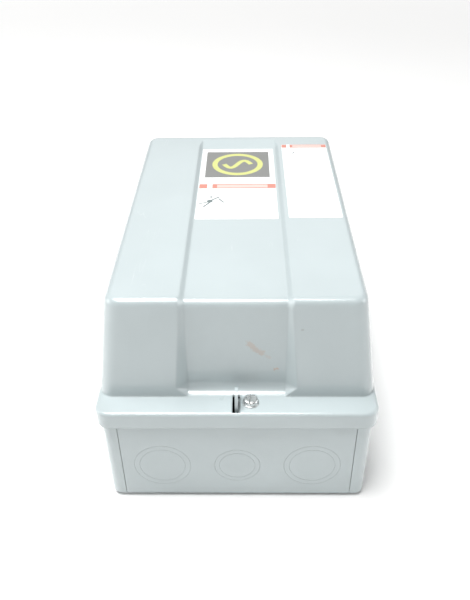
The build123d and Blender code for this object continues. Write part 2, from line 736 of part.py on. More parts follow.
def coil_winding():
    z = (BOBBIN_BOTTOM + BOBBIN_FLANGE, BOBBIN_TOP - BOBBIN_FLANGE)
    return rounded_prism(around(0, 17.2), around(CENTRE_Y, 18.6), z, 4.0) - coil_tube(BOBBIN_WALL, z)


def coil_terminals():
    tabs = []
    for y in COIL_TERMINAL_Y:
        z = (BOBBIN_TOP, BOBBIN_TOP + COIL_TAB)
        tab = block((-55.5, -12.0), around(y, 2.5), z)
        tab += block((-55.5, -43.5), around(y, 5.0), z)
        tabs.append(tab - rod(COIL_TERMINAL_X, y, (BOBBIN_TOP - 1, BOBBIN_TOP + 2), 2.3))
    return group(tabs)


def coil_terminal_screws():
    seat = BOBBIN_TOP + COIL_TAB
    return group([pan_screw(COIL_TERMINAL_X, y, seat, 7.0, head=4.0, turn=y) for y in COIL_TERMINAL_Y])


# ---------------------------------------------------------------- moving contactor parts
def armature():
    bar = block(around(0, CORE_HALF_X), around(CENTRE_Y, CORE_HALF_Y), (ARMATURE_BOTTOM, YOKE_BOTTOM))
    return bar - lying_rod(0, around(CENTRE_Y, 30), PIN_Z, PIN_RADIUS + 0.05, "Y")


def armature_pin():
    return lying_rod(0, around(CENTRE_Y, CHEEK_OUTER), PIN_Z, PIN_RADIUS, "Y")


def contact_carrier():
    yoke = block(around(0, 16.0), around(CENTRE_Y, YOKE_HALF_Y), (YOKE_BOTTOM, YOKE_TOP))
    depth = around(CENTRE_Y, CARRIER_HALF_Y)
    stem = block(around(0, STEM_HALF_X), depth, (YOKE_TOP - 0.5, CARRIER_BOTTOM + 1))
    bar = block(around(0, BLOCK_HALF_X - 3.2), depth, (CARRIER_BOTTOM, CARRIER_TOP))
    tongue = block(around(0, 5.0), around(CENTRE_Y, 3.2), (CARRIER_TOP - 1, TONGUE_TOP))
    body = yoke + stem + bar + top_edge_fillet(tongue, 0.8)
    for side in (-1, 1):
        y = sorted((CENTRE_Y + side * CHEEK_INNER, CENTRE_Y + side * CHEEK_OUTER))
        body += block(around(0, 6.0), y, (46.2, YOKE_BOTTOM + 1))
    body -= lying_rod(0, around(CENTRE_Y, 30), PIN_Z, PIN_RADIUS + 0.05, "Y")
    for x in POLE_X:
        window = around(CENTRE_Y, CARRIER_HALF_Y + 1)
        body -= block(around(x, WINDOW_HALF), window, (BRIDGE_BOTTOM, WINDOW_TOP))
    return body


def contact_bridges():
    bars = []
    for x in POLE_X:
        z = (BRIDGE_BOTTOM, BRIDGE_BOTTOM + BRIDGE_THICKNESS)
        bars.append(rounded_prism(around(x, BRIDGE_HALF_X), around(CENTRE_Y, BRIDGE_HALF_Y), z, 1.5))
    return group(bars)


def moving_contact_tips():
    return group(contact_tips(BRIDGE_BOTTOM - TIP_HEIGHT))


def spring_sleeve(x, y, z, radius, wire):
    """Envelope of a coil spring."""
    return rod(x, y, z, radius) - rod(x, y, (z[0] - 1, z[1] + 1), radius - wire)


def contact_springs():
    z = (BRIDGE_BOTTOM + BRIDGE_THICKNESS, WINDOW_TOP)
    return group([spring_sleeve(x, CENTRE_Y, z, 3.6, 0.8) for x in POLE_X])


def return_springs():
    z = (BOBBIN_TOP, YOKE_BOTTOM)
    return group([spring_sleeve(0, CENTRE_Y + side * 17.0, z, 2.3, 0.6) for side in (-1, 1)])


# ---------------------------------------------------------------- overload relay
def overload_base():
    body = rounded_prism(around(0, BLOCK_HALF_X), RELAY_Y, (PLATE_TOP, RELAY_LAND), 1.5)
    for x, half in zip(BARRIER_X[1:], BARRIER_HALF[1:]):
        body += block(around(x, half), RELAY_Y, (RELAY_LAND - 1, RELAY_BARRIER_TOP))
    body += block((43.0, 54.0), (-76.0, -24.0), (PLATE_TOP, PLATE_TOP + FOOT_THICKNESS))
    body -= block(LEFT_COLUMN, (RELAY_Y[0] - 1, RECESS_Y[1]), (RELAY_FLOOR, RELAY_LAND + 1))
    body -= block((-44.5, 42.0), TRIP_Y, (RELAY_FLOOR - 2.4, RELAY_FLOOR + 2.6))
    reset_x, reset_y = sum(RESET_X) / 2, sum(RESET_Y) / 2
    body -= block(around(reset_x, 4.0), around(reset_y, 4.0), (RELAY_FLOOR - 12, RELAY_FLOOR + 1))
    for x in POWER_X:
        body -= block(around(x, 8.5), RECESS_Y, (RELAY_FLOOR, RELAY_LAND + 1))
        body -= rod(x, UNIT_CENTRE_Y, (WHEEL_Z[0] - 0.6, RELAY_FLOOR + 1), WHEEL_RADIUS + 0.8)
        pawl_y = (TRIP_Y[1] - 1.0, TRIP_Y[1] + 1.5)
        body -= block((x + 1.0, x + 7.0), pawl_y, (RELAY_FLOOR - 2.4, RELAY_FLOOR + 1))
        for y in (*UNIT_SCREW_Y, LOAD_TERMINAL_Y, STRAP_SCREW_Y):
            body -= rod(x, y, (RELAY_LAND - 8, RELAY_LAND + 1), 2.3)
    for x, y in CONTROL_SCREWS:
        body -= rod(x, y, (RELAY_FLOOR - 6, RELAY_FLOOR + 1), 1.9)
    x, y = RELAY_SINK_SCREW
    body -= rod(x, y, (RELAY_SINK_SEAT, RELAY_LAND + 1), 4.6)
    for x, y in (RELAY_SINK_SCREW, *RELAY_FOOT_SCREWS):
        body -= rod(x, y, (PLATE_TOP - 1, RELAY_LAND + 1), 2.3)
    return body


def relay_screws():
    screws = [pan_screw(*RELAY_SINK_SCREW, RELAY_SINK_SEAT, 18.0, head=4.2, turn=33)]
    screws += [pan_screw(x, y, PLATE_TOP + FOOT_THICKNESS, 6.8, turn=x + y) for x, y in RELAY_FOOT_SCREWS]
    return group(screws)


def relay_strip(x, y):
    strip = block(around(x, STRIP_HALF), y, (RELAY_LAND, UNIT_BOTTOM))
    for place in (*UNIT_SCREW_Y, LOAD_TERMINAL_Y, STRAP_SCREW_Y):
        strip -= rod(x, place, (RELAY_LAND - 1, UNIT_BOTTOM + 1), 2.3)
    return strip


def relay_input_strips():
    return group([relay_strip(x, (RECESS_Y[1], -5.0)) for x in POWER_X])


def relay_output_strips():
    return group([relay_strip(x, (-82.5, RECESS_Y[0])) for x in POWER_X])


def load_links():
    """Three bent straps from the contactor's load terminals down to the relay's input strips."""
    half = 4.8
    links = []
    drop = (-1.2, -1.2 + STRAP)
    for x in POWER_X:
        upper = block(around(x, half), (drop[0], 16.5), (STRIP_TOP, STRIP_TOP + STRAP))
        down = block(around(x, half), drop, (UNIT_BOTTOM, STRIP_TOP + STRAP))
        lower = block(around(x, half), (-17.5, drop[1]), (UNIT_BOTTOM, UNIT_BOTTOM + STRAP))
        link = upper + down + lower
        link -= rod(x, TERMINAL_Y[0], (STRIP_TOP - 1, STRIP_TOP + 3), 2.3)
        link -= rod(x, STRAP_SCREW_Y, (UNIT_BOTTOM - 1, UNIT_BOTTOM + 3), 2.3)
        links.append(link)
    return group(links)


def thermal_units():
    """Heater plates with a stamped waist, a raised cap, a heater sleeve and the solder pot inside it."""
    units = []
    for x in POWER_X:
        plate = rounded_prism(around(x, 6.2), UNIT_Y, (UNIT_BOTTOM, UNIT_BOTTOM + 1.5), 2.0)
        for side in (-1, 1):
            for end in (-9.5, 9.5):
                plate -= rod(x + side * 7.4, UNIT_CENTRE_Y + end, (UNIT_BOTTOM - 1, UNIT_BOTTOM + 3), 2.6)
        for y in UNIT_SCREW_Y:
            plate -= rod(x, y, (UNIT_BOTTOM - 1, UNIT_BOTTOM + 3), 2.3)
        cap = top_edge_fillet(rod(x, UNIT_CENTRE_Y, (UNIT_BOTTOM + 1, UNIT_BOTTOM + 4.0), 4.8), 1.2)
        sleeve = rod(x, UNIT_CENTRE_Y, (POT_BOTTOM + 2, UNIT_BOTTOM + 0.5), 6.0)
        sleeve -= rod(x, UNIT_CENTRE_Y, (POT_BOTTOM, UNIT_BOTTOM - 1.0), POT_RADIUS)
        units.append(plate + cap + sleeve)
        units.append(rod(x, UNIT_CENTRE_Y, (POT_BOTTOM, UNIT_BOTTOM - 1.0), POT_RADIUS))
    return group(units)


def ratchet_wheel(x):
    wheel = rod(0, 0, WHEEL_Z, WHEEL_RADIUS)
    for tooth in range(WHEEL_TEETH):
        notch = Rot(0, 0, 45) * block(around(0, 0.7), around(0, 0.7), (WHEEL_Z[0] - 1, WHEEL_Z[1] + 1))
        cut = Pos(WHEEL_RADIUS + 0.35, 0, 0) * notch
        wheel -= Rot(0, 0, tooth * 360 / WHEEL_TEETH) * cut
    shaft = rod(0, 0, (WHEEL_Z[1] - TINY, POT_BOTTOM), 1.5)
    return Pos(x, UNIT_CENTRE_Y, 0) * (wheel + shaft)


def thermal_unit_screws():
    seat = UNIT_BOTTOM + 1.5
    places = [(x, y) for x in POWER_X for y in UNIT_SCREW_Y]
    return group([pan_screw(x, y, seat, 8.0, turn=13 * x + y) for x, y in places])


def trip_slider():
    """Bar under the heaters with one pawl for each ratchet wheel and a flag in the contact column."""
    z = (RELAY_FLOOR - 2.2, RELAY_FLOOR)
    depth = (TRIP_Y[0] + 0.3, TRIP_Y[1] - 0.5)
    bar = block((FLAG_X[0], 38.6), depth, z)
    for x in POWER_X:
        bar += block((x + 1.5, x + 3.5), (TRIP_Y[1] - 1.0, TRIP_Y[1] + 0.35), z)
    bar += block(FLAG_X, depth, (z[1] - 1, RELAY_LAND + 3))
    return bar


def overload_contact_unit():
    body = rounded_prism((-43.0, -22.7), (-83.5, -54.5), (RELAY_FLOOR, CONTROL_TOP), 1.0)
    body = top_edge_fillet(body, 0.8)
    for x, y in CONTROL_SCREWS:
        body -= block(around(x, 4.6), (y - 8.5, y + 6.0), (CONTROL_SEAT, CONTROL_TOP + 1))
        body -= rod(x, y, (RELAY_FLOOR - 1, CONTROL_SEAT + 1), 1.9)
    return body


def control_screws():
    screws = [pan_screw(x, y, CONTROL_SEAT, 21.0, shank=1.8, head=3.4, turn=8 * x) for x, y in CONTROL_SCREWS]
    return group(screws)


def reset_button():
    middle_x = sum(RESET_X) / 2
    middle_y = sum(RESET_Y) / 2
    head = rounded_prism(RESET_X, RESET_Y, (RELAY_FLOOR + RESET_TRAVEL + 1.0, RESET_TOP), 1.5)
    head = top_edge_fillet(head, 1.0)
    stem = rod(middle_x, middle_y, (RELAY_FLOOR - 2.0, RELAY_FLOOR + RESET_TRAVEL + 2.0), 1.6)
    return head + stem


def reset_spring():
    z = (RELAY_FLOOR - 12, RELAY_FLOOR + RESET_TRAVEL + 1.0)
    return spring_sleeve(sum(RESET_X) / 2, sum(RESET_Y) / 2, z, 3.4, 0.7)


# ---------------------------------------------------------------- control wires
def route_radii(points):
    """Largest tangent arcs that each pair of runs allows."""
    radii = []
    for before, here, after in zip(points, points[1:], points[2:]):
        run_in = Vector(*here) - Vector(*before)
        run_out = Vector(*after) - Vector(*here)
        turn = run_in.get_angle(run_out)
        radii.append(0.45 * min(run_in.length, run_out.length) / tan(radians(turn / 2)))
    return radii


def wire(points):
    """Insulated wire along straight runs joined by tangent arcs."""
    radii = route_radii(points)
    path = FilletPolyline(*points, radius=radii)
    print("wire radii", [round(radius, 1) for radius in radii])
    start = Plane(origin=path @ 0, z_dir=path % 0)
    return sweep(start * Circle(WIRE_RADIUS), path=path)


def coil_wire():
    """Overload contact to the lower coil terminal, up the left side."""
    return wire([
        (-38.2, -81.2, CONTROL_WIRE_Z),
        (-38.4, -92.0, 45.5),
        (-48.0, -100.0, 43.0),
        (-61.0, -94.0, 38.0),
        (-64.5, -76.0, 34.0),
        (-65.5, -42.0, 33.0),
        (-65.0, -8.0, 35.0),
        (-63.5, 20.0, 38.5),
        (-61.0, 32.5, 41.0),
        (-54.2, 35.5, COIL_WIRE_Z),
    ])


def holding_wire():
    """Upper coil terminal to the auxiliary pole's line terminal."""
    return wire([
        (-54.2, 66.5, COIL_WIRE_Z),
        (-62.0, 70.0, 42.0),
        (-66.0, 81.0, 46.0),
        (-64.0, 95.0, 55.0),
        (-56.0, 106.0, 66.0),
        (-43.0, 109.5, 74.0),
        (-33.5, 105.5, 76.5),
        (-31.5, 96.3, BLOCK_WIRE_Z),
    ])


def supply_wire():
    """Overload contact across the foot of the box and up the right side to a line terminal."""
    return wire([
        (-27.5, -81.2, CONTROL_WIRE_Z),
        (-27.2, -92.0, 45.0),
        (-16.0, -100.0, 40.0),
        (8.0, -101.5, 33.0),
        (36.0, -100.0, 28.0),
        (58.0, -94.0, 26.0),
        (66.0, -76.0, 26.0),
        (67.5, -42.0, 27.0),
        (67.0, -4.0, 29.0),
        (67.5, 36.0, 32.0),
        (67.0, 72.0, 40.0),
        (63.0, 95.0, 54.0),
        (53.0, 107.0, 68.0),
        (39.5, 108.5, 76.0),
        (32.0, 103.5, 77.0),
        (31.5, 96.3, BLOCK_WIRE_Z),
    ])


# ---------------------------------------------------------------- output
PARTS = {
    "enclosure_base": enclosure_base,
    "bottom_end_wall": bottom_end_wall,
    "top_end_wall": lambda: end_wall(1),
    "knockout_rings": knockout_rings,
    "knockout_centres": knockout_centres,
    "latch_bracket": latch_bracket,
    "ground_lug": ground_lug,
    "ground_screw": ground_screw,
    "cover": cover,
    "cover_hooks": cover_hooks,
    "rating_label": rating_label,
    "side_label": side_label,
    "wiring_diagram": wiring_diagram,
    "screw_washer": screw_washer,
    "cover_screw": cover_screw,
    "mounting_plate": mounting_plate,
    "plate_screws": plate_screws,
    "contactor_base": contactor_base,
    "foot_screws": foot_screws,
    "contact_block": contact_block,
    "housing_screws": housing_screws,
    "line_contacts": line_contacts,
    "load_contacts": load_contacts,
    "fixed_contact_tips": fixed_contact_tips,
    "wire_clamps": wire_clamps,
    "terminal_screws": terminal_screws,
    "arc_cover": arc_cover,
    "arc_cover_screws": arc_cover_screws,
    "stationary_core": stationary_core,
    "shading_rings": shading_rings,
    "magnet_cushion": magnet_cushion,
    "coil_bobbin": coil_bobbin,
    "coil_winding": coil_winding,
    "coil_terminals": coil_terminals,
    "coil_terminal_screws": coil_terminal_screws,
    "armature": armature,
    "armature_pin": armature_pin,
    "contact_carrier": contact_carrier,
    "contact_bridges": contact_bridges,
    "moving_contact_tips": moving_contact_tips,
    "contact_springs": contact_springs,
    "return_springs": return_springs,
    "overload_base": overload_base,
    "relay_screws": relay_screws,
    "relay_input_strips": relay_input_strips,
    "relay_output_strips": relay_output_strips,
    "load_links": load_links,
    "thermal_units": thermal_units,
    "ratchet_wheel_1": lambda: ratchet_wheel(POWER_X[0]),
    "ratchet_wheel_2": lambda: ratchet_wheel(POWER_X[1]),
    "ratchet_wheel_3": lambda: ratchet_wheel(POWER_X[2]),
    "thermal_unit_screws": thermal_unit_screws,
    "trip_slider": trip_slider,
    "overload_contact_unit": overload_contact_unit,
    "control_screws": control_screws,
    "reset_button": reset_button,
    "reset_spring": reset_spring,
    "coil_wire": coil_wire,
    "holding_wire": holding_wire,
    "supply_wire": supply_wire,
}

os.makedirs("parts", exist_ok=True)
for name, make in PARTS.items():
    export_step(make(), f"parts/{name}.step")
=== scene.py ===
"""Looks of a magnetic motor starter in a sheet-steel wall box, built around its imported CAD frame.

X is the width, +Y the far end of the box and +Z out of the cover, as in the CAD. Sizes of the pieces are
in millimetres and turned into metres where a mesh is built; the room, lights and camera are in metres.
Print on the labels is generic: symbols, bars and bands with no lettering.
"""
import json
import math

import bmesh
import bpy
from mathutils import Matrix, Vector


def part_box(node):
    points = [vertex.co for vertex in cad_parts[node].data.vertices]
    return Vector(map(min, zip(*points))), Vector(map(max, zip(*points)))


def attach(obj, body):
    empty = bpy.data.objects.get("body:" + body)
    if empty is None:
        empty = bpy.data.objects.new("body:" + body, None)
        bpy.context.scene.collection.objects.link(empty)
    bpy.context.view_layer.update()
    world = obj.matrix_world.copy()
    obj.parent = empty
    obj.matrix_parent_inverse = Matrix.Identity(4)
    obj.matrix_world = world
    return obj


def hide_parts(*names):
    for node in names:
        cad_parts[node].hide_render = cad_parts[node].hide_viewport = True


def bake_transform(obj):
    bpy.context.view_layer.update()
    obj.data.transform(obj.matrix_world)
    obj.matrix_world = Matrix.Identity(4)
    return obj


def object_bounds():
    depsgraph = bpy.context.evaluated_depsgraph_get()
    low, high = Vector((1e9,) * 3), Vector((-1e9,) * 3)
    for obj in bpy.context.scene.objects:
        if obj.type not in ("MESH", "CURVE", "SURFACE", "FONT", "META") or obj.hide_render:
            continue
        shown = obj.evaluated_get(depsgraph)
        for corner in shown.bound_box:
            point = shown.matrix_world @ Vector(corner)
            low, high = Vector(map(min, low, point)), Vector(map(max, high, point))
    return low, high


MM = 0.001

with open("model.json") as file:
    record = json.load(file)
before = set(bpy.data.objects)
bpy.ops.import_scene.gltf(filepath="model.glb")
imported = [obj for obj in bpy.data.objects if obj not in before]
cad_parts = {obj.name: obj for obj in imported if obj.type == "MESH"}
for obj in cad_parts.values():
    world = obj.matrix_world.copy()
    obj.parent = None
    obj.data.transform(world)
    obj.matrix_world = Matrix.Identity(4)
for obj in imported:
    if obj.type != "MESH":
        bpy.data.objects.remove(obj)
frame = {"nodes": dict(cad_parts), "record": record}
CAD_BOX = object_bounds()


# ---------------------------------------------------------------- shader helpers
class Shader:
    """One material's node tree, with short calls for the nodes that the finishes share."""

    def __init__(self, name, metallic=0.0, **constants):
        self.material = bpy.data.materials.new(name)
        self.material.use_nodes = True
        self.tree = self.material.node_tree
        self.surface = self.tree.nodes["Principled BSDF"]
        self.surface.inputs["Metallic"].default_value = metallic
        for socket, value in constants.items():
            self.surface.inputs[socket.replace("_", " ")].default_value = value
        self.place = self.tree.nodes.new("ShaderNodeTexCoord").outputs["Object"]

    def feed(self, socket, value):
        if isinstance(value, bpy.types.NodeSocket):
            self.tree.links.new(value, socket)
        elif isinstance(value, (tuple, list)) and len(value) == 3 and len(socket.default_value) == 4:
            socket.default_value = (*value, 1.0)
        else:
            socket.default_value = value

    def math(self, operation, first, second=0.0):
        node = self.tree.nodes.new("ShaderNodeMath")
        node.operation = operation
        self.feed(node.inputs[0], first)
        self.feed(node.inputs[1], second)
        return node.outputs[0]

    def vector(self, operation, first, second=(0.0, 0.0, 0.0), scale=1.0):
        node = self.tree.nodes.new("ShaderNodeVectorMath")
        node.operation = operation
        self.feed(node.inputs[0], first)
        if operation == "SCALE":
            self.feed(node.inputs["Scale"], scale)
        else:
            self.feed(node.inputs[1], second)
        return node.outputs["Value" if operation in ("LENGTH", "DOT_PRODUCT") else "Vector"]

    def noise(self, scale, detail=2.0, stretch=(1.0, 1.0, 1.0), warp=0.0):
        """Noise of so many features per metre, from 0 to 1."""
        node = self.tree.nodes.new("ShaderNodeTexNoise")
        self.feed(node.inputs["Vector"], self.vector("MULTIPLY", self.place, stretch))
        self.feed(node.inputs["Scale"], scale)
        self.feed(node.inputs["Detail"], detail)
        self.feed(node.inputs["Distortion"], warp)
        return node.outputs["Fac"]

    def bands(self, pitch, direction, warp=0.0):
        """Bands across one axis, one every pitch metres, from 0 to 1."""
        node = self.tree.nodes.new("ShaderNodeTexWave")
        node.bands_direction = direction
        self.feed(node.inputs["Vector"], self.place)
        self.feed(node.inputs["Scale"], 2 * math.pi / (20 * pitch))
        self.feed(node.inputs["Distortion"], warp)
        return node.outputs["Fac"]

    def span(self, value, low, high, to_low=0.0, to_high=1.0):
        """Value taken from low..high to to_low..to_high, smoothly and no further."""
        node = self.tree.nodes.new("ShaderNodeMapRange")
        node.interpolation_type = "SMOOTHSTEP"
        for socket, number in zip(node.inputs, (value, low, high, to_low, to_high)):
            self.feed(socket, number)
        return node.outputs["Result"]

    def mix(self, share, first, second):
        node = self.tree.nodes.new("ShaderNodeMix")
        node.data_type = "RGBA"
        self.feed(node.inputs["Factor"], share)
        colours = [socket for socket in node.inputs if socket.type == "RGBA"]
        self.feed(colours[0], first)
        self.feed(colours[1], second)
        return next(socket for socket in node.outputs if socket.type == "RGBA")

    def tone(self, colour, spread, scale, stretch=(1.0, 1.0, 1.0)):
        """The colour, a little darker and lighter in patches."""
        dark = tuple(part * (1 - spread) for part in colour)
        light = tuple(min(1.0, part * (1 + spread)) for part in colour)
        return self.mix(self.span(self.noise(scale, 3.0, stretch), 0.3, 0.7), dark, light)

    def bump(self, height, depth, normal=None):
        node = self.tree.nodes.new("ShaderNodeBump")
        self.feed(node.inputs["Height"], height)
        node.inputs["Strength"].default_value = 1.0
        node.inputs["Distance"].default_value = depth
        if normal is not None:
            self.feed(node.inputs["Normal"], normal)
        return node.outputs["Normal"]

    def round_edges(self, radius):
        """Normals as if each sharp edge were broken by a small radius."""
        node = self.tree.nodes.new("ShaderNodeBevel")
        node.samples = 4
        node.inputs["Radius"].default_value = radius
        return node.outputs["Normal"]

    def away_from(self, start, end):
        """Distance in metres from the straight line between two points."""
        start = Vector(start)
        along = Vector(end) - start
        from_start = self.vector("SUBTRACT", self.place, tuple(start))
        share = self.vector("DOT_PRODUCT", from_start, tuple(along / along.length_squared))
        share = self.math("MINIMUM", self.math("MAXIMUM", share, 0.0), 1.0)
        nearest = self.vector("SCALE", tuple(along), scale=share)
        return self.vector("LENGTH", self.vector("SUBTRACT", from_start, nearest))

    def done(self, colour, roughness, normal=None):
        self.feed(self.surface.inputs["Base Color"], colour)
        self.feed(self.surface.inputs["Roughness"], roughness)
        if normal is not None:
            self.feed(self.surface.inputs["Normal"], normal)
        return self.material


# ---------------------------------------------------------------- finishes
PAINT_GREY = (0.45, 0.51, 0.52)
FADED_GREY = tuple(part * 1.05 for part in PAINT_GREY)
RUBBED_GREY = (0.66, 0.70, 0.70)
RUST = (0.50, 0.27, 0.15)
BARE_STEEL = (0.30, 0.31, 0.31)
PEEL_DEPTH = 0.035 * MM
PRESSED_EDGE = 2.4 * MM
FOLDED_EDGE = 0.5 * MM

# Rust on the cover: a smear down the wall of the pocket with a thinner tail, a spot under it, and a chip
# in the paint beside the pocket. The spot and the chip are short lines.
SMEAR = [
    Vector((7.3, -108.1, 107.1)) * MM,
    Vector((11.3, -108.4, 102.8)) * MM,
    Vector((14.7, -108.5, 100.7)) * MM,
    Vector((19.4, -108.7, 97.1)) * MM,
]
SMEAR_SPOT = Vector((22.7, -109.3, 89.1)) * MM
SPOT_LENGTH = Vector((1.0, 0.0, 0.0)) * MM
PAINT_CHIP = Vector((36.7, -110.3, 119.0)) * MM
CHIP_LENGTH = Vector((0.6, 0.0, 0.0)) * MM
RAGGED_EDGE = 4.5 * MM


def scratch_mask(shader):
    """Fine scratches along Y, in patches."""
    lines = shader.noise(90.0, 2.0, (1.0, 0.06, 1.0), 1.2)
    lines = shader.span(shader.math("ABSOLUTE", shader.math("SUBTRACT", lines, 0.5)), 0.004, 0.0)
    patches = shader.span(shader.noise(26.0, 1.0), 0.56, 0.66)
    return shader.math("MULTIPLY", lines, patches)


def rust_and_chip(shader, colour):
    """The colour with the rust and the chip on it, and the share of rust in the smear."""
    ragged = shader.math("SUBTRACT", shader.noise(700.0, 4.0), 0.5)
    ragged = shader.math("MULTIPLY", ragged, RAGGED_EDGE)
    smear = [shader.away_from(first, second) for first, second in zip(SMEAR, SMEAR[1:])]
    broad = shader.math("ADD", shader.math("MINIMUM", smear[0], smear[1]), ragged)
    broad = shader.span(broad, 2.3 * MM, 0.9 * MM)
    tail = shader.span(shader.math("ADD", smear[2], ragged), 1.3 * MM, 0.2 * MM)
    rust = shader.math("MAXIMUM", broad, shader.math("MULTIPLY", tail, 0.5))
    colour = shader.mix(shader.math("MULTIPLY", rust, 0.3), colour, RUST)
    spot = shader.math("ADD", shader.away_from(SMEAR_SPOT, SMEAR_SPOT + SPOT_LENGTH), ragged)
    spot = shader.span(spot, 1.3 * MM, 0.5 * MM)
    colour = shader.mix(shader.math("MULTIPLY", spot, 0.55), colour, RUST)
    chip = shader.span(shader.away_from(PAINT_CHIP, PAINT_CHIP + CHIP_LENGTH), 0.8 * MM, 0.4 * MM)
    return shader.mix(shader.math("MULTIPLY", chip, 0.5), colour, BARE_STEEL), rust


def enamel(name, edge, worn):
    """Grey stoving enamel with a slight orange peel and fine scratches; a worn one has rust and a chip."""
    shader = Shader(name, Coat_Weight=0.85, Coat_Roughness=0.1, Specular_IOR_Level=0.5)
    colour = shader.tone(PAINT_GREY, 0.022, 16.0)
    colour = shader.mix(shader.span(shader.noise(60.0, 4.0), 0.55, 0.8, 0.0, 0.35), colour, FADED_GREY)
    scratches = scratch_mask(shader)
    colour = shader.mix(shader.math("MULTIPLY", scratches, 0.22), colour, RUBBED_GREY)
    roughness = shader.span(shader.noise(40.0, 3.0), 0.2, 0.8, 0.27, 0.37)
    height = shader.math("SUBTRACT", shader.noise(420.0, 2.0), shader.math("MULTIPLY", scratches, 0.4))
    if worn:
        colour, rust = rust_and_chip(shader, colour)
        roughness = shader.math("ADD", roughness, shader.math("MULTIPLY", rust, 0.3))
        height = shader.math("ADD", height, shader.math("MULTIPLY", rust, 1.5))
    normal = shader.bump(height, PEEL_DEPTH, shader.round_edges(edge))
    return shader.done(colour, roughness, normal)


def plated(name, colour, low, high, grain=(1.0, 1.0, 1.0), edge=0.25, stain=None, spread=0.07):
    """Bare or plated metal: soft mottling, a brushed or tumbled grain and rounded edges."""
    shader = Shader(name, metallic=1.0)
    tint = shader.tone(colour, spread, 240.0)
    if stain is not None:
        stained = shader.span(shader.noise(160.0, 4.0, warp=0.6), 0.52, 0.75, 0.0, 0.7)
        tint = shader.mix(stained, tint, stain)
    roughness = shader.span(shader.noise(600.0, 3.0, grain), 0.25, 0.75, low, high)
    normal = shader.bump(shader.noise(1500.0, 2.0, grain), 0.02 * MM, shader.round_edges(edge * MM))
    return shader.done(tint, roughness, normal)


def moulded(name, colour, low, high, texture=0.03, edge=0.4, scale=900.0, spread=0.06, **constants):
    """Moulded plastic: fine texture from the tool, slight flow marks and rounded edges."""
    shader = Shader(name, **constants)
    tint = shader.tone(colour, spread, 70.0, (1.0, 0.35, 1.0))
    dust = tuple(part * 0.6 + 0.12 for part in colour)
    tint = shader.mix(shader.span(shader.noise(220.0, 4.0), 0.6, 0.85, 0.0, 0.22), tint, dust)
    roughness = shader.span(shader.noise(120.0, 2.0), 0.3, 0.7, low, high)
    normal = shader.bump(shader.noise(scale, 3.0), texture * MM, shader.round_edges(edge * MM))
    return shader.done(tint, roughness, normal)


def laminated_core(name):
    """Stack of oiled steel sheets, with the edge of each sheet showing as a line."""
    shader = Shader(name, metallic=0.85)
    sheets = shader.bands(0.55 * MM, "Y", 0.6)
    tint = shader.mix(shader.span(sheets, 0.1, 0.6), (0.10, 0.095, 0.09), (0.36, 0.35, 0.34))
    tint = shader.mix(shader.span(shader.noise(120.0, 4.0), 0.55, 0.8, 0.0, 0.5), tint, (0.22, 0.15, 0.10))
    normal = shader.bump(sheets, 0.05 * MM, shader.round_edges(0.3 * MM))
    return shader.done(tint, shader.span(sheets, 0.0, 1.0, 0.55, 0.34), normal)


def taped_coil(name):
    """Varnished cotton tape wound round the coil, each turn lapping the one before."""
    shader = Shader(name, Coat_Weight=0.2, Coat_Roughness=0.3)
    laps = shader.bands(4.2 * MM, "Z", 0.35)
    weave = shader.math("MULTIPLY", shader.bands(0.45 * MM, "X"), shader.bands(0.45 * MM, "Z"))
    tint = shader.mix(shader.span(laps, 0.0, 0.25), (0.035, 0.028, 0.020), (0.15, 0.115, 0.07))
    tint = shader.mix(shader.span(weave, 0.2, 0.9, 0.0, 0.35), tint, (0.24, 0.19, 0.12))
    normal = shader.bump(weave, 0.06 * MM, shader.bump(laps, 0.25 * MM))
    return shader.done(tint, shader.span(weave, 0.0, 1.0, 0.62, 0.5), normal)


def rubber(name):
    """Dull black rubber with a fine grain."""
    shader = Shader(name)
    tint = shader.tone((0.030, 0.030, 0.031), 0.2, 300.0)
    normal = shader.bump(shader.noise(1800.0, 3.0), 0.05 * MM, shader.round_edges(0.4 * MM))
    return shader.done(tint, 0.82, normal)


def paper(name, colour, fibre, roughness, **constants):
    """Printed stock: faint fibres, slight ageing in patches."""
    shader = Shader(name, **constants)
    tint = shader.tone(colour, 0.015, 45.0)
    aged = tuple(part * shade for part, shade in zip(colour, (0.97, 0.94, 0.87)))
    tint = shader.mix(shader.span(shader.noise(30.0, 4.0), 0.55, 0.85, 0.0, fibre), tint, aged)
    normal = shader.bump(shader.noise(1600.0, 3.0, (1.0, 0.4, 1.0)), 0.012 * MM)
    rough = shader.span(shader.noise(90.0, 2.0), 0.3, 0.7, roughness - 0.05, roughness + 0.05)
    return shader.done(tint, rough, normal)


def insulation(name, colour):
    """Extruded wire insulation with a soft sheen and faint print-free drag lines."""
    shader = Shader(name, Coat_Weight=0.15, Coat_Roughness=0.25)
    tint = shader.tone(colour, 0.15, 180.0)
    normal = shader.bump(shader.noise(500.0, 2.0, (1.0, 0.1, 1.0)), 0.03 * MM)
    return shader.done(tint, shader.span(shader.noise(200.0), 0.3, 0.7, 0.36, 0.48), normal)


def ink(name, colour, roughness=0.4):
    """Screen print: even colour with the slight unevenness of a thin film."""
    shader = Shader(name, Coat_Weight=0.1, Coat_Roughness=0.2)
    tint = shader.tone(colour, 0.012, 90.0)
    return shader.done(tint, shader.span(shader.noise(120.0), 0.3, 0.7, roughness - 0.02, roughness + 0.02))


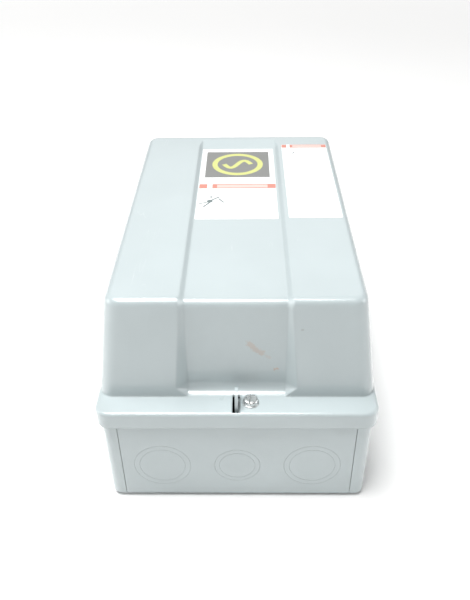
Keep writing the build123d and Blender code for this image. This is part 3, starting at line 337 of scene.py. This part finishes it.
FINISHES = {
    "box_paint": enamel("box_enamel", FOLDED_EDGE, worn=False),
    "cover_paint": enamel("cover_enamel", PRESSED_EDGE, worn=True),
    "zinc_plate": plated("zinc_screws", (0.74, 0.745, 0.74), 0.22, 0.42, edge=0.2),
    "plate_steel": plated("plated_sheet", (0.60, 0.59, 0.55), 0.34, 0.5, (1.0, 0.08, 1.0),
                          stain=(0.52, 0.50, 0.38)),
    "ground_green": moulded("green_lacquer", (0.02, 0.22, 0.07), 0.25, 0.4, 0.01, 0.2, Coat_Weight=0.4),
    "brass": plated("brass", (0.78, 0.58, 0.26), 0.24, 0.42, (1.0, 0.15, 1.0), stain=(0.50, 0.34, 0.15)),
    "copper": plated("copper", (0.82, 0.46, 0.30), 0.28, 0.45, (1.0, 0.15, 1.0), stain=(0.45, 0.22, 0.13)),
    "silver": plated("silver_tips", (0.86, 0.85, 0.81), 0.24, 0.4, stain=(0.40, 0.38, 0.35)),
    "core_steel": laminated_core("laminated_core"),
    "spring_steel": plated("spring_wire", (0.62, 0.62, 0.61), 0.2, 0.34, edge=0.1),
    "phenolic": moulded("black_phenolic", (0.020, 0.020, 0.021), 0.34, 0.5, Specular_IOR_Level=0.5),
    "nylon": moulded("natural_nylon", (0.78, 0.74, 0.62), 0.35, 0.45, 0.015, Subsurface_Weight=0.15),
    "coil_tape": taped_coil("coil_tape"),
    "rubber": rubber("cushion_rubber"),
    "heater_alloy": plated("heater_alloy", (0.62, 0.58, 0.50), 0.28, 0.46, stain=(0.40, 0.30, 0.22)),
    "reset_plastic": moulded("red_button", (0.48, 0.035, 0.028), 0.26, 0.36, 0.012, 0.5,
                             Coat_Weight=0.3),
    "label_stock": paper("label_stock", (0.86, 0.87, 0.87), 0.10, 0.34,
                         Coat_Weight=0.25, Coat_Roughness=0.2),
    "sheet_paper": paper("diagram_sheet", (0.82, 0.81, 0.74), 0.7, 0.62),
    "wire_black": insulation("black_insulation", (0.016, 0.016, 0.017)),
}

for subpart in frame["record"]["subparts"]:
    for holder in frame["nodes"][subpart["node"]].material_slots:
        holder.material = FINISHES[subpart["material_slot"]]


# ---------------------------------------------------------------- mesh helpers
def piece_from(name, mesh_builder, material, body, smooth=False):
    """New piece whose mesh is filled in by mesh_builder(bmesh), riding on a body."""
    build = bmesh.new()
    mesh_builder(build)
    bmesh.ops.recalc_face_normals(build, faces=build.faces)
    mesh = bpy.data.meshes.new(name)
    build.to_mesh(mesh)
    build.free()
    for polygon in mesh.polygons:
        polygon.use_smooth = smooth
    piece = bpy.data.objects.new(name, mesh)
    piece.data.materials.append(material)
    bpy.context.collection.objects.link(piece)
    if body is not None:
        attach(piece, body)
    return piece


def prism(build, outline, low, high):
    """Solid between two heights over an outline of (x, y) points in millimetres."""
    bottom = [build.verts.new((x * MM, y * MM, low * MM)) for x, y in outline]
    top = [build.verts.new((x * MM, y * MM, high * MM)) for x, y in outline]
    build.faces.new(bottom)
    build.faces.new(top)
    for index in range(len(outline)):
        after = (index + 1) % len(outline)
        build.faces.new((bottom[index], bottom[after], top[after], top[index]))


def bar(x, y):
    """Outline of a plain bar between (low, high) pairs along X and Y."""
    return [(x[0], y[0]), (x[1], y[0]), (x[1], y[1]), (x[0], y[1])]


def stroke(start, end, width):
    """Outline of a straight line of some width."""
    start, end = Vector(start), Vector(end)
    along = (end - start).normalized() * (width / 2)
    side = Vector((-along.y, along.x))
    corners = (start - along - side, end + along - side, end + along + side, start - along + side)
    return [tuple(corner) for corner in corners]


def arc(centre, radius, steps, sides):
    """Points on a circle of so many sides, at the given steps round it."""
    turns = [2 * math.pi * step / sides for step in steps]
    return [(centre[0] + radius * math.cos(turn), centre[1] + radius * math.sin(turn)) for turn in turns]


def disc(centre, radius, sides=28):
    """Outline of a round dot."""
    return arc(centre, radius, range(sides), sides)


def ring(centre, radius, width, sides=40):
    """Outlines of the two halves of a ring, which meet end to end."""
    half = sides // 2
    outlines = []
    for start in (0, half):
        steps = range(start, start + half + 1)
        outer = arc(centre, radius + width / 2, steps, sides)
        inner = arc(centre, radius - width / 2, steps, sides)
        outlines.append(outer + inner[::-1])
    return outlines


def wave(centre, half_length, height, width, steps=22):
    """Outline of one period of a sine wave, as a ribbon of even width."""
    upper, lower = [], []
    for step in range(steps + 1):
        share = 2 * step / steps - 1
        along = Vector((half_length, math.pi * height * math.cos(math.pi * share))).normalized()
        side = Vector((-along.y, along.x)) * (width / 2)
        middle = Vector((centre[0] + half_length * share, centre[1] + height * math.sin(math.pi * share)))
        upper.append(tuple(middle + side))
        lower.append(tuple(middle - side))
    return [upper + lower[::-1]]


PRINT_STEP = 0.012


def printed(name, outlines, surface, thickness, material):
    """Print a hair proud of a label, above it for a positive thickness and below for a negative.

    Each outline is a little thicker than the one before, so that no two that cross share a face.
    """
    def build_print(build):
        for order, outline in enumerate(outlines):
            far = surface + thickness * (1 + PRINT_STEP * order)
            prism(build, outline, *sorted((surface, far)))
    piece_from(name, build_print, material, "cover")


def swept_tube(build, points, radius, sides=10):
    """Closed round tube through points in metres."""
    rings = []
    for index, point in enumerate(points):
        ahead = points[min(index + 1, len(points) - 1)] - points[max(index - 1, 0)]
        ahead.normalize()
        side = ahead.cross(Vector((0, 0, 1)))
        side = side.normalized() if side.length > 0.01 else Vector((1, 0, 0))
        up = side.cross(ahead)
        turns = [2 * math.pi * step / sides for step in range(sides)]
        rings.append([build.verts.new(point + (side * math.cos(turn) + up * math.sin(turn)) * radius)
                      for turn in turns])
    for first, second in zip(rings, rings[1:]):
        for step in range(sides):
            after = (step + 1) % sides
            build.faces.new((first[step], first[after], second[after], second[step]))
    build.faces.new(rings[0])
    build.faces.new(rings[-1])


def coil(build, x, y, low, high, radius, wire, turns, steps=26):
    """Compression spring between two heights in millimetres, with closed ends."""
    low, high = low + wire, high - wire
    end_turn = 1.0 / turns
    points = []
    total = turns * steps
    for step in range(total + 1):
        share = step / total
        climb = (share - end_turn / 2) / (1 - end_turn)
        climb = min(1.0, max(0.0, climb))
        angle = 2 * math.pi * share * turns
        place = (x + radius * math.cos(angle), y + radius * math.sin(angle), low + (high - low) * climb)
        points.append(Vector(place) * MM)
    swept_tube(build, points, wire * MM)


# ---------------------------------------------------------------- springs
def box_mm(node):
    """Lowest and highest corners of a CAD node in millimetres."""
    low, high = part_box(node)
    return [value / MM for value in low], [value / MM for value in high]


def springs(name, node, places, outer, wire, turns):
    """Coil springs in place of the plain tubes of a CAD node."""
    low, high = box_mm(node)

    def build_springs(build):
        for x, y in places:
            coil(build, x, y, low[2], high[2], outer - wire, wire, turns)
    piece = piece_from(name, build_springs, FINISHES["spring_steel"], None, smooth=True)
    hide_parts(node)
    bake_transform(piece)


POLE_X = (-31.5, -10.5, 10.5, 31.5)
CENTRE_Y = 51.0
RETURN_SPRINGS = [(0.0, CENTRE_Y - 17.0), (0.0, CENTRE_Y + 17.0)]


def add_springs():
    """Return springs under the carrier and the spring under the reset button."""
    springs("return_spring_coils", "return_springs", RETURN_SPRINGS, outer=3.0, wire=0.38, turns=7)
    low, high = box_mm("reset_spring")
    middle = ((low[0] + high[0]) / 2, (low[1] + high[1]) / 2)
    springs("reset_spring_coil", "reset_spring", [middle], outer=3.4, wire=0.35, turns=7)


def add_contact_springs():
    """Four springs between the carrier's window tops and the contact bridges."""
    low, high = box_mm("contact_springs")

    def build_springs(build):
        for x in POLE_X:
            coil(build, x, CENTRE_Y, low[2], high[2], radius=3.25, wire=0.35, turns=6)
    piece = piece_from("contact_spring_coils", build_springs, FINISHES["spring_steel"], None,
                       smooth=True)
    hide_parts("contact_springs")
    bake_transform(piece)


# ---------------------------------------------------------------- print on the labels
INK_DEPTH = 0.03
BLACK_INK = ink("panel_black", (0.215, 0.218, 0.21), 0.3)
YELLOW_INK = ink("emblem_yellow", (0.57, 0.59, 0.22))
RED_INK = ink("band_red", (0.58, 0.24, 0.19))
PALE_RED_INK = ink("band_pale_red", (0.66, 0.52, 0.48))
GREY_INK = ink("line_grey", (0.16, 0.20, 0.20))
PALE_INK = ink("bar_pale_grey", (0.52, 0.50, 0.52))
DIAGRAM_INK = ink("diagram_ink", (0.03, 0.03, 0.035), 0.55)


def pale_bars(name, x, y, count, surface):
    """Rows of pale bars of uneven length, standing for small print."""
    outlines = []
    pitch = (y[1] - y[0]) / count
    for row in range(count):
        shorter = 0.33 * abs(math.sin(2.1 * row + 0.7))
        reach = x[1] - (x[1] - x[0]) * shorter
        top = y[1] - row * pitch
        outlines.append(bar((x[0], reach), (top - 0.38 * pitch, top)))
    printed(name, outlines, surface, INK_DEPTH, PALE_INK)


def band(name, x, y, surface, clear):
    """Red band with a small clear gap near its left end and a paler middle."""
    end = (x[1] - x[0]) * 0.105
    gap = (x[0] + end, x[0] + end + clear)
    paler = (gap[1] + end * 0.6, x[1] - end)
    solid = [bar((x[0], gap[0]), y), bar((gap[1], paler[0]), y), bar((paler[1], x[1]), y)]
    rim = (y[1] - y[0]) * 0.16
    solid += [bar(paler, (y[0], y[0] + rim)), bar(paler, (y[1] - rim, y[1]))]
    printed(name, solid, surface, INK_DEPTH, RED_INK)
    printed(name + "_middle", [bar(paler, (y[0] + rim, y[1] - rim))], surface, INK_DEPTH, PALE_RED_INK)


# Rating label, from the far end to the near one.
PANEL_MARGIN = (3.8, 3.9)
PANEL_Y = (48.4, 93.8)
RULE_INSET = 0.8
RULE_Y = (40.4, 41.6)
BAND_Y = (30.6, 37.4)
SWITCH_STROKES = (
    ((-26.0, 7.6), (-20.6, 10.0), 1.0),
    ((-19.2, 11.6), (-13.4, 17.0), 1.2),
    ((-13.0, 14.6), (-9.8, 9.6), 1.0),
    ((-23.0, 3.4), (-19.2, 9.4), 1.1),
)
SWITCH_DOTS = (((-19.2, 11.2), 2.0), ((-18.4, 17.4), 1.0))
SMALL_PRINT = ((-5.5, 22.0), (-9.5, 6.0))


def rating_label_print():
    """Black panel with a ringed wave, a rule, a red band, a switch symbol and pale bars."""
    low, high = box_mm("rating_label")
    surface = high[2]
    panel_x = (low[0] + PANEL_MARGIN[0], high[0] - PANEL_MARGIN[1])
    printed("label_panel", [bar(panel_x, PANEL_Y)], surface, INK_DEPTH, BLACK_INK)
    middle = (sum(panel_x) / 2, sum(PANEL_Y) / 2)
    emblem = ring(middle, radius=17.2, width=4.0, sides=56)
    emblem += wave(middle, half_length=10.2, height=6.2, width=3.6)
    printed("label_emblem", emblem, surface + INK_DEPTH, INK_DEPTH, YELLOW_INK)
    rule_x = (panel_x[0] + RULE_INSET, panel_x[1] - RULE_INSET)
    printed("label_rule", [bar(rule_x, RULE_Y)], surface, INK_DEPTH, PALE_INK)
    band("label_band", (low[0] + 0.6, high[0] - 0.2), BAND_Y, surface, clear=3.6)
    symbol = [stroke(*line) for line in SWITCH_STROKES] + [disc(*dot) for dot in SWITCH_DOTS]
    printed("label_symbol", symbol, surface, INK_DEPTH, GREY_INK)
    pale_bars("label_small_print", *SMALL_PRINT, 6, surface)


SIDE_BAND_LOW = 97.0
SIDE_BAND_INSET = 0.2
SIDE_MARK_STROKES = (((42.0, 85.8), (43.2, 88.2), 0.7), ((42.2, 88.0), (43.6, 86.8), 0.5))
SIDE_SMALL_PRINT = ((40.0, 61.0), (-8.0, 4.5))


def side_label_print():
    """Red band at the far end, one small mark and a few pale bars at the near end."""
    low, high = box_mm("side_label")
    surface = high[2]
    band_x = (low[0] + SIDE_BAND_INSET, high[0] - SIDE_BAND_INSET)
    band("side_label_band", band_x, (SIDE_BAND_LOW, high[1] - 0.3), surface, clear=2.6)
    mark = [stroke(*line) for line in SIDE_MARK_STROKES]
    printed("side_label_mark", mark, surface, INK_DEPTH, GREY_INK)
    pale_bars("side_label_small_print", *SIDE_SMALL_PRINT, 5, surface)


# Wiring diagram: three power lines run down to the motor, and three control rungs lie between two rails.
THIN_LINE = 0.45
BOLD_LINE = 0.6
FRAME_LINE = 0.5
POWER_LINES_X = (-14.0, -6.0, 2.0)
SUPPLY_Y = 80.0
CONTACT_Y = (66.0, 58.0)
CONTACT_HALF = 2.0
HEATER_Y = (40.0, 37.0)
HEATER_REACH = 2.0
LOAD_LINE_END = 22.0
LOAD_TERMINAL_Y = 20.6
TERMINAL_RADIUS = 1.2
MOTOR_CENTRE = (-6.0, 2.0)
MOTOR_RADIUS = 7.2
MOTOR_LEAD_END = 8.6
MOTOR_LEAD_SPREAD = 0.45
FEEDER = ((12.0, 74.0), (12.0, -24.0))
RAILS_X = (-18.0, 18.0)
RAILS_Y = (-20.0, -58.0)
RUNGS_Y = (-28.0, -42.0, -54.0)
RUNG_CONTACT_X = (-7.0, -4.0)
RUNG_CONTACT_HALF = 2.2
RUNG_COIL_X = 6.2
RUNG_COIL_RADIUS = 3.2
RUNG_COIL_GAP = 3.4


def power_line(x):
    """Terminal, open contact, heater, terminal and the lead to the motor."""
    lines = ring((x, SUPPLY_Y), TERMINAL_RADIUS, 0.4, 16)
    lines.append(stroke((x, SUPPLY_Y - TERMINAL_RADIUS), (x, CONTACT_Y[0]), THIN_LINE))
    lines.append(stroke((x, CONTACT_Y[1]), (x, HEATER_Y[0]), THIN_LINE))
    for y in CONTACT_Y:
        lines.append(stroke((x - CONTACT_HALF, y), (x + CONTACT_HALF, y), BOLD_LINE))
    bend = (x + HEATER_REACH, (HEATER_Y[0] + HEATER_Y[1]) / 2)
    lines.append(stroke((x, HEATER_Y[0]), bend, THIN_LINE))
    lines.append(stroke(bend, (x, HEATER_Y[1]), THIN_LINE))
    lines.append(stroke((x, HEATER_Y[1]), (x, LOAD_LINE_END), THIN_LINE))
    lines += ring((x, LOAD_TERMINAL_Y), TERMINAL_RADIUS, 0.4, 16)
    motor_x = MOTOR_CENTRE[0] + (x - MOTOR_CENTRE[0]) * MOTOR_LEAD_SPREAD
    lines.append(stroke((x, LOAD_TERMINAL_Y - TERMINAL_RADIUS), (motor_x, MOTOR_LEAD_END), THIN_LINE))
    return lines


def control_rung(y):
    """Contact and coil between the two rails."""
    coil_ends = (RUNG_COIL_X - RUNG_COIL_GAP, RUNG_COIL_X + RUNG_COIL_GAP)
    lines = [stroke((RAILS_X[0], y), (RUNG_CONTACT_X[0], y), THIN_LINE)]
    lines.append(stroke((coil_ends[1], y), (RAILS_X[1], y), THIN_LINE))
    for x in RUNG_CONTACT_X:
        lines.append(stroke((x, y - RUNG_CONTACT_HALF), (x, y + RUNG_CONTACT_HALF), BOLD_LINE))
    lines.append(stroke((RUNG_CONTACT_X[1], y), (coil_ends[0], y), THIN_LINE))
    return lines + ring((RUNG_COIL_X, y), RUNG_COIL_RADIUS, 0.5, 24)


def wiring_diagram_print():
    """Generic ladder of symbols on the sheet inside the cover: contacts, heaters, a motor and coils."""
    low, high = box_mm("wiring_diagram")
    corners = bar((low[0] + 2.5, high[0] - 2.5), (low[1] + 3.0, high[1] - 3.0))
    lines = [stroke(corners[index - 1], corners[index], FRAME_LINE) for index in range(4)]
    for x in POWER_LINES_X:
        lines += power_line(x)
    lines += ring(MOTOR_CENTRE, MOTOR_RADIUS, BOLD_LINE, 36)
    lines.append(stroke(*FEEDER, THIN_LINE))
    for x in RAILS_X:
        lines.append(stroke((x, RAILS_Y[0]), (x, RAILS_Y[1]), THIN_LINE))
    for y in RUNGS_Y:
        lines += control_rung(y)
    printed("diagram_print", lines, low[2], -INK_DEPTH, DIAGRAM_INK)


# ---------------------------------------------------------------- paint over the knockout joints
KNOCKOUT_X = (-46.0, 0.0, 46.0)
KNOCKOUT_JOINTS = ((17.45, 14.1), (14.1, 11.1), (17.45, 14.1))
JOINT_WIDTH = 0.3
FILM_LAP = 0.05
FILM_DEPTH = (-0.03, 0.9)


def paint_films():
    """Paint bridging the punched joints round each knockout slug."""
    low, high = box_mm("knockout_rings")
    front = low[1]
    height = (low[2] + high[2]) / 2
    depths = (front + FILM_DEPTH[0], front + FILM_DEPTH[1])

    def build_films(build):
        for x, joints in zip(KNOCKOUT_X, KNOCKOUT_JOINTS):
            for outer in joints:
                radii = (outer - JOINT_WIDTH - FILM_LAP, outer + FILM_LAP)
                film_ring(build, x, height, radii, depths)
    piece_from("knockout_paint_films", build_films, FINISHES["box_paint"], "box", smooth=False)


def film_ring(build, x, z, radii, depths, sides=72):
    """Closed ring about a Y axis, with a rectangular section."""
    corners = [(radii[0], depths[0]), (radii[1], depths[0]), (radii[1], depths[1]), (radii[0], depths[1])]
    loops = []
    for radius, depth in corners:
        circle = arc((x, z), radius, range(sides), sides)
        loops.append([build.verts.new((across * MM, depth * MM, up * MM)) for across, up in circle])
    for first, second in zip(loops, loops[1:] + loops[:1]):
        for step in range(sides):
            after = (step + 1) % sides
            build.faces.new((first[step], first[after], second[after], second[step]))


# ---------------------------------------------------------------- room, light and camera
FLOOR_GAP = 2.2 * MM
FLOOR_REACH = 6.0
GLOW_REACH = (0.5, 2.6)
GLOW_STRENGTH = (0.07, 0.8)


def add_floor():
    """White table that glows more and more away from the box, as a lit backdrop does."""
    build = bmesh.new()
    bmesh.ops.create_grid(build, x_segments=4, y_segments=4, size=FLOOR_REACH)
    mesh = bpy.data.meshes.new("floor")
    build.to_mesh(mesh)
    build.free()
    floor = bpy.data.objects.new("floor", mesh)
    floor.location.z = CAD_BOX[0][2] - FLOOR_GAP
    shader = Shader("floor_white", Specular_IOR_Level=0.2)
    shader.surface.inputs["Emission Color"].default_value = (1.0, 1.0, 0.995, 1.0)
    reach = shader.vector("LENGTH", shader.place)
    shader.feed(shader.surface.inputs["Emission Strength"], shader.span(reach, *GLOW_REACH, *GLOW_STRENGTH))
    shader.done(shader.tone((0.88, 0.88, 0.875), 0.004, 3.0), 0.7)
    floor.data.materials.append(shader.material)
    bpy.context.collection.objects.link(floor)


def add_world(strength):
    """Even white surroundings."""
    world = bpy.data.worlds.new("studio")
    world.use_nodes = True
    background = world.node_tree.nodes["Background"]
    background.inputs["Color"].default_value = (1.0, 1.0, 1.0, 1.0)
    background.inputs["Strength"].default_value = strength
    bpy.context.scene.world = world


def add_softbox(name, location, target, size, power):
    """Rectangular lamp, out of the camera's sight, aimed at a point."""
    lamp = bpy.data.lights.new(name, "AREA")
    lamp.shape = "RECTANGLE"
    lamp.size, lamp.size_y = size
    lamp.energy = power
    holder = bpy.data.objects.new(name, lamp)
    holder.location = location
    holder.visible_camera = False
    aim = Vector(target) - Vector(location)
    holder.rotation_euler = aim.to_track_quat("-Z", "Y").to_euler()
    bpy.context.collection.objects.link(holder)


# Where each softbox stands, the point it is aimed at, its size in metres and its power in watts.
SOFTBOXES = {
    "overhead_softbox": ((-0.27, -0.18, 1.5), (0.0, 0.0, 0.1), (1.0, 0.75), 33.0),
    "background_softbox": ((0.0, 2.0, 1.3), (0.0, 1.0, 0.0), (2.0, 1.0), 4.0),
    "left_softbox": ((-1.7, -0.15, 0.55), (0.0, 0.0, 0.07), (0.9, 0.9), 7.5),
    "right_softbox": ((1.7, -0.15, 0.55), (0.0, 0.0, 0.07), (0.9, 0.9), 7.5),
}
WORLD_STRENGTH = 0.16

# Focal length as a share of the picture's width, and where the camera is held.
FOCAL_SHARE = 1.419234
CAMERA_PLACE = (0.0059, -0.40056, 0.35063)
CAMERA_PITCH = math.radians(36.003)
CAMERA_YAW = math.radians(-1.218)
CAMERA_ROLL = math.radians(0.864)


def add_camera():
    """Hand-held view from the conduit end, looking down on the cover."""
    lens = bpy.data.cameras.new("camera")
    lens.sensor_fit = "HORIZONTAL"
    lens.sensor_width = 36.0
    lens.lens = FOCAL_SHARE * lens.sensor_width
    lens.clip_start = 0.01
    lens.clip_end = 50.0
    level = math.cos(CAMERA_PITCH)
    ahead = Vector((math.sin(CAMERA_YAW) * level, math.cos(CAMERA_YAW) * level, -math.sin(CAMERA_PITCH)))
    right = ahead.cross(Vector((0, 0, 1))).normalized()
    down = ahead.cross(right)
    rolled_right = right * math.cos(CAMERA_ROLL) + down * math.sin(CAMERA_ROLL)
    rolled_down = down * math.cos(CAMERA_ROLL) - right * math.sin(CAMERA_ROLL)
    turn = Matrix((rolled_right, -rolled_down, -ahead)).transposed().to_4x4()
    camera = bpy.data.objects.new("camera", lens)
    camera.matrix_world = Matrix.Translation(CAMERA_PLACE) @ turn
    bpy.context.collection.objects.link(camera)
    bpy.context.scene.camera = camera


add_springs()
add_contact_springs()
rating_label_print()
side_label_print()
wiring_diagram_print()
add_floor()
paint_films()
add_world(WORLD_STRENGTH)
for softbox, settings in SOFTBOXES.items():
    add_softbox(softbox, *settings)
add_camera()
bpy.context.scene.view_settings.view_transform = "Standard"
